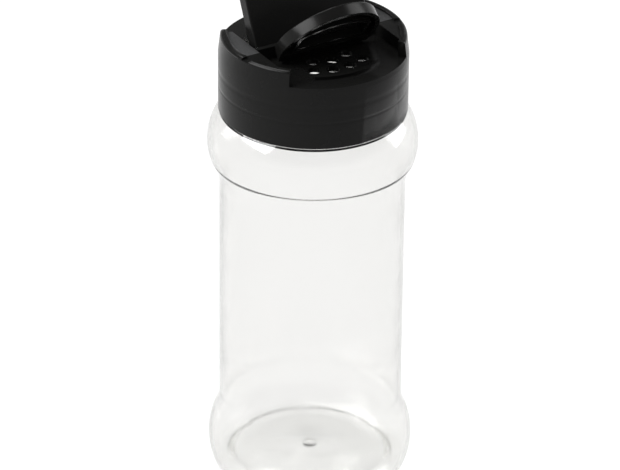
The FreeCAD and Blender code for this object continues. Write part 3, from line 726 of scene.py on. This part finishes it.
class SHAKER_OT_stage(bpy.types.Operator):
    """Set the pale floor, the soft light and the camera"""

    bl_idname = "shaker.stage"
    bl_label = "Stage"

    def execute(self, context):
        scene = context.scene
        self.add_floor(scene)
        self.add_world(scene)
        for name, place, size, power in LAMPS:
            self.add_lamp(scene, name, place, size, power)
        self.add_camera(scene)
        scene.view_settings.view_transform = "Standard"
        return {"FINISHED"}

    def add_floor(self, scene):
        """A matte floor that looks almost white and still takes the shadow."""
        bm = bmesh.new()
        bmesh.ops.create_grid(bm, x_segments=8, y_segments=8, size=3.0)
        floor = finish_mesh(bm, "floor")
        material = bpy.data.materials.new("Floor")
        material.use_nodes = True
        tree = material.node_tree
        tree.nodes.clear()
        output = tree.nodes.new("ShaderNodeOutputMaterial")
        matte = tree.nodes.new("ShaderNodeBsdfDiffuse")
        matte.inputs["Color"].default_value = scene.shaker_finish.floor
        glow = tree.nodes.new("ShaderNodeEmission")
        glow.inputs["Strength"].default_value = 1.0
        share = math_node(tree, "MULTIPLY", seen_rays(tree), scene.shaker_stage.floor_white)
        mix_shaders(tree, share, matte.outputs["BSDF"], glow.outputs["Emission"], output)
        floor.data.materials.append(material)

    def add_world(self, scene):
        """An even room light. Where the room is seen, it is white low down and dark higher up."""
        levels = scene.shaker_stage
        world = bpy.data.worlds.new("Pale room")
        scene.world = world
        world.use_nodes = True
        tree = world.node_tree
        tree.nodes.clear()
        output = tree.nodes.new("ShaderNodeOutputWorld")
        room = tree.nodes.new("ShaderNodeBackground")
        room.inputs["Color"].default_value = (1.0, 1.0, 1.0, 1.0)
        place = tree.nodes.new("ShaderNodeTexCoord")
        height = split_axes(tree, place.outputs["Generated"])[2]
        backdrop = map_range(tree, height, levels.horizon_low, levels.horizon_high, 1.0, levels.ceiling)
        strength = map_range(tree, seen_rays(tree), 0.0, 1.0, levels.room_light, backdrop)
        tree.links.new(strength, room.inputs["Strength"])
        tree.links.new(room.outputs["Background"], output.inputs["Surface"])

    def add_lamp(self, scene, name, place, size, power):
        """A soft rectangular lamp that faces the bottle."""
        lamp = bpy.data.lights.new(name, "AREA")
        lamp.shape = "RECTANGLE"
        lamp.size, lamp.size_y = size
        lamp.energy = power
        holder = bpy.data.objects.new(name, lamp)
        holder.location = place
        aim = LAMP_AIM - Vector(place)
        holder.rotation_euler = aim.to_track_quat("-Z", "Y").to_euler()
        scene.collection.objects.link(holder)

    def add_camera(self, scene):
        """The camera, on a circle round the bottle and aimed at a point near its middle."""
        sizes = scene.shaker_camera
        lens = bpy.data.cameras.new("Photo camera")
        lens.lens = sizes.lens
        lens.sensor_width = 36.0
        lens.clip_start = 0.05
        lens.clip_end = 20.0
        camera = bpy.data.objects.new("Photo camera", lens)
        turn, tilt = sizes.azimuth, sizes.elevation
        back = Vector((math.sin(turn) * math.cos(tilt), -math.cos(turn) * math.cos(tilt), math.sin(tilt)))
        right = Vector((math.cos(turn), math.sin(turn), 0.0))
        aim = Vector((0.0, 0.0, sizes.aim_height)) - right * sizes.aim_side
        facing = (-back).to_track_quat("-Z", "Y").to_matrix() @ Matrix.Rotation(sizes.roll, 3, "Z")
        camera.matrix_world = Matrix.Translation(aim + back * sizes.distance) @ facing.to_4x4()
        scene.collection.objects.link(camera)
        scene.camera = camera


class SHAKER_PT_panel(bpy.types.Panel):
    """Lists the shaker's pieces and their sizes"""

    bl_idname = "SHAKER_PT_panel"
    bl_label = "Spice shaker"
    bl_space_type = "VIEW_3D"
    bl_region_type = "UI"
    bl_category = "Shaker"

    def draw(self, context):
        for operator in OPERATORS:
            self.layout.operator(operator.bl_idname)
        for name, group in SETTINGS.items():
            box = self.layout.box()
            box.label(text=group.__doc__)
            for key in group.__annotations__:
                box.prop(getattr(context.scene, name), key)


OPERATORS = (SHAKER_OT_bottle, SHAKER_OT_seal, SHAKER_OT_cap, SHAKER_OT_doors, SHAKER_OT_stage)


def register():
    for group in SETTINGS.values():
        bpy.utils.register_class(group)
    for name, group in SETTINGS.items():
        setattr(bpy.types.Scene, name, bpy.props.PointerProperty(type=group))
    for operator in OPERATORS:
        bpy.utils.register_class(operator)
    bpy.utils.register_class(SHAKER_PT_panel)


def unregister():
    bpy.utils.unregister_class(SHAKER_PT_panel)
    for operator in reversed(OPERATORS):
        bpy.utils.unregister_class(operator)
    for name in SETTINGS:
        delattr(bpy.types.Scene, name)
    for group in SETTINGS.values():
        bpy.utils.unregister_class(group)


def main():
    register()
    bpy.ops.shaker.bottle()
    bpy.ops.shaker.seal()
    bpy.ops.shaker.cap()
    bpy.ops.shaker.doors()
    bpy.ops.shaker.stage()


if __name__ == "__main__":
    main()
